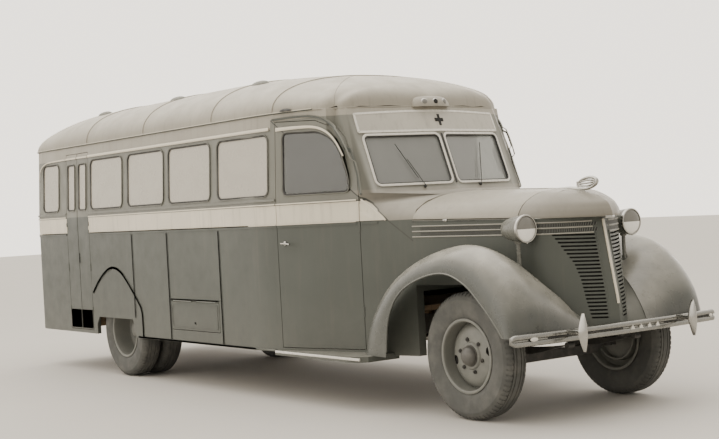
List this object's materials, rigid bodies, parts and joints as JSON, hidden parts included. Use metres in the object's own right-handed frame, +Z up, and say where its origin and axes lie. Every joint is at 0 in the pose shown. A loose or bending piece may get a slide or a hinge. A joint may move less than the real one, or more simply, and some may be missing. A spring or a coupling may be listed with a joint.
{
  "type": "ambulance truck",
  "caption": "Bus-bodied military ambulance truck with a domed roof, tapering bonnet, crowned front fenders, opening doors, turning wheels and steering.",
  "frame": {"origin": "on the ground under the middle of the vehicle's box", "axes": "+X forward to the bonnet, +Y to the vehicle's left, +Z up"},
  "size_m": [8.235, 2.312, 2.85],
  "materials": {
    "dark_paint": "satin dark paint on the lower body, fenders and doors",
    "light_paint": "satin light paint on the roof, bonnet top and bulkhead",
    "wheel_paint": "satin paint",
    "frame_black": "matt black",
    "rubber": "worn rubber",
    "floor_wood": "oiled boards",
    "chrome": "polished",
    "seat_leather": "plain leathercloth",
    "glass": "clear"
  },
  "bodies": {
    "body": {"attendant_seat": "seat_leather", "bulkhead": "light_paint", "bumper": "chrome", "cab_shell": "dark_paint", "cross_member_axle": "frame_black", "cross_member_front": "frame_black", "cross_member_gearbox": "frame_black", "cross_member_middle": "frame_black", "cross_member_rear": "frame_black", "dashboard": "frame_black", "drive_shaft": "frame_black", "driver_seat": "seat_leather", "engine": "frame_black", "exhaust": "frame_black", "floor": "floor_wood", "frame_rail_left": "frame_black", "frame_rail_right": "frame_black", "front_axle": "frame_black", "front_fender_left": "dark_paint", "front_fender_right": "dark_paint", "front_spring_left": "frame_black", "front_spring_right": "frame_black", "fuel_tank": "frame_black", "headlamp_left": "chrome", "headlamp_right": "chrome", "left_wall": "dark_paint", "nose": "dark_paint", "rear_axle": "frame_black", "rear_spring_left": "frame_black", "rear_spring_right": "frame_black", "rear_wall": "dark_paint", "right_wall": "dark_paint", "roof": "light_paint", "step_left": "dark_paint", "step_right": "dark_paint", "windscreen_left": "glass", "windscreen_right": "glass"},
    "right_knuckle": {"knuckle_right": "frame_black"},
    "left_knuckle": {"knuckle_left": "frame_black"},
    "front_right_wheel": {"front_wheel_right": "wheel_paint", "front_tyre_right": "rubber"},
    "front_left_wheel": {"front_wheel_left": "wheel_paint", "front_tyre_left": "rubber"},
    "rear_right_wheels": {"rear_wheels_right": "wheel_paint", "rear_tyre_right_outer": "rubber", "rear_tyre_right_inner": "rubber"},
    "rear_left_wheels": {"rear_wheels_left": "wheel_paint", "rear_tyre_left_outer": "rubber", "rear_tyre_left_inner": "rubber"},
    "right_front_door": {"right_cab_door": "dark_paint"},
    "left_front_door": {"left_cab_door": "dark_paint"},
    "ward_rear_leaf": {"ward_door_rear": "dark_paint"},
    "ward_front_leaf": {"ward_door_front": "dark_paint"},
    "rear_right_leaf": {"right_rear_door": "dark_paint"},
    "rear_left_leaf": {"left_rear_door": "dark_paint"},
    "bonnet_right": {"hood_leaf_right": "light_paint"},
    "bonnet_left": {"hood_leaf_left": "light_paint"},
    "locker_lid": {"locker_flap": "dark_paint"},
    "wheel_for_steering": {"steering_wheel": "frame_black"}
  },
  "joints": [
    {"name": "steer_right", "type": "hinge", "parent": "body", "child": "right_knuckle", "pos_m": [3.1675, -0.62, 0.47], "axis": [0, 0, 1], "range_deg": [-30, 30]},
    {"name": "steer_left", "type": "hinge", "parent": "body", "child": "left_knuckle", "pos_m": [3.1675, 0.62, 0.47], "axis": [0, 0, 1], "range_deg": [-30, 30]},
    {"name": "steering_wheel_turn", "type": "hinge", "parent": "body", "child": "wheel_for_steering", "pos_m": [1.7475, 0.4, 1.44], "axis": [-0.5695, 0, 0.822], "range_deg": [-480, 480]},
    {"name": "front_right_roll", "type": "hinge", "parent": "right_knuckle", "child": "front_right_wheel", "pos_m": [3.1675, -0.77, 0.47], "axis": [0, 1, 0], "continuous": true},
    {"name": "front_left_roll", "type": "hinge", "parent": "left_knuckle", "child": "front_left_wheel", "pos_m": [3.1675, 0.77, 0.47], "axis": [0, 1, 0], "continuous": true},
    {"name": "rear_right_roll", "type": "hinge", "parent": "body", "child": "rear_right_wheels", "pos_m": [-1.9325, -0.8725, 0.47], "axis": [0, 1, 0], "continuous": true},
    {"name": "rear_left_roll", "type": "hinge", "parent": "body", "child": "rear_left_wheels", "pos_m": [-1.9325, 0.8725, 0.47], "axis": [0, 1, 0], "continuous": true},
    {"name": "right_cab_door_hinge", "type": "hinge", "parent": "body", "child": "right_front_door", "pos_m": [1.9705, -0.8771, 1.2], "axis": [0, 0, 1], "range_deg": [0, 65]},
    {"name": "left_cab_door_hinge", "type": "hinge", "parent": "body", "child": "left_front_door", "pos_m": [1.9705, 0.8771, 1.2], "axis": [0, 0, -1], "range_deg": [0, 65]},
    {"name": "ward_rear_leaf_hinge", "type": "hinge", "parent": "body", "child": "ward_rear_leaf", "pos_m": [-3.0855, -1.148, 1.4], "axis": [0, 0, -1], "range_deg": [0, 95]},
    {"name": "ward_front_leaf_hinge", "type": "hinge", "parent": "body", "child": "ward_front_leaf", "pos_m": [-2.5295, -1.148, 1.4], "axis": [0, 0, 1], "range_deg": [0, 95]},
    {"name": "rear_right_leaf_hinge", "type": "hinge", "parent": "body", "child": "rear_right_leaf", "pos_m": [-4.0805, -0.583, 1.4], "axis": [0, 0, 1], "range_deg": [0, 110]},
    {"name": "rear_left_leaf_hinge", "type": "hinge", "parent": "body", "child": "rear_left_leaf", "pos_m": [-4.0805, 0.583, 1.4], "axis": [0, 0, -1], "range_deg": [0, 110]},
    {"name": "bonnet_right_hinge", "type": "hinge", "parent": "body", "child": "bonnet_right", "pos_m": [2.9175, -0.013, 1.67175], "axis": [-0.9994, 0, 0.035], "range_deg": [0, 60]},
    {"name": "bonnet_left_hinge", "type": "hinge", "parent": "body", "child": "bonnet_left", "pos_m": [2.9175, 0.013, 1.67175], "axis": [0.9994, 0, -0.035], "range_deg": [0, 60]},
    {"name": "locker_flap_hinge", "type": "hinge", "parent": "body", "child": "locker_lid", "pos_m": [-0.3225, -1.148, 0.808], "axis": [-1, 0, 0], "range_deg": [0, 90]}
  ],
  "couplings": [
    {"joint": "steer_left", "follows": "steer_right", "ratio": 1},
    {"joint": "steering_wheel_turn", "follows": "steer_right", "ratio": 16}
  ]
}
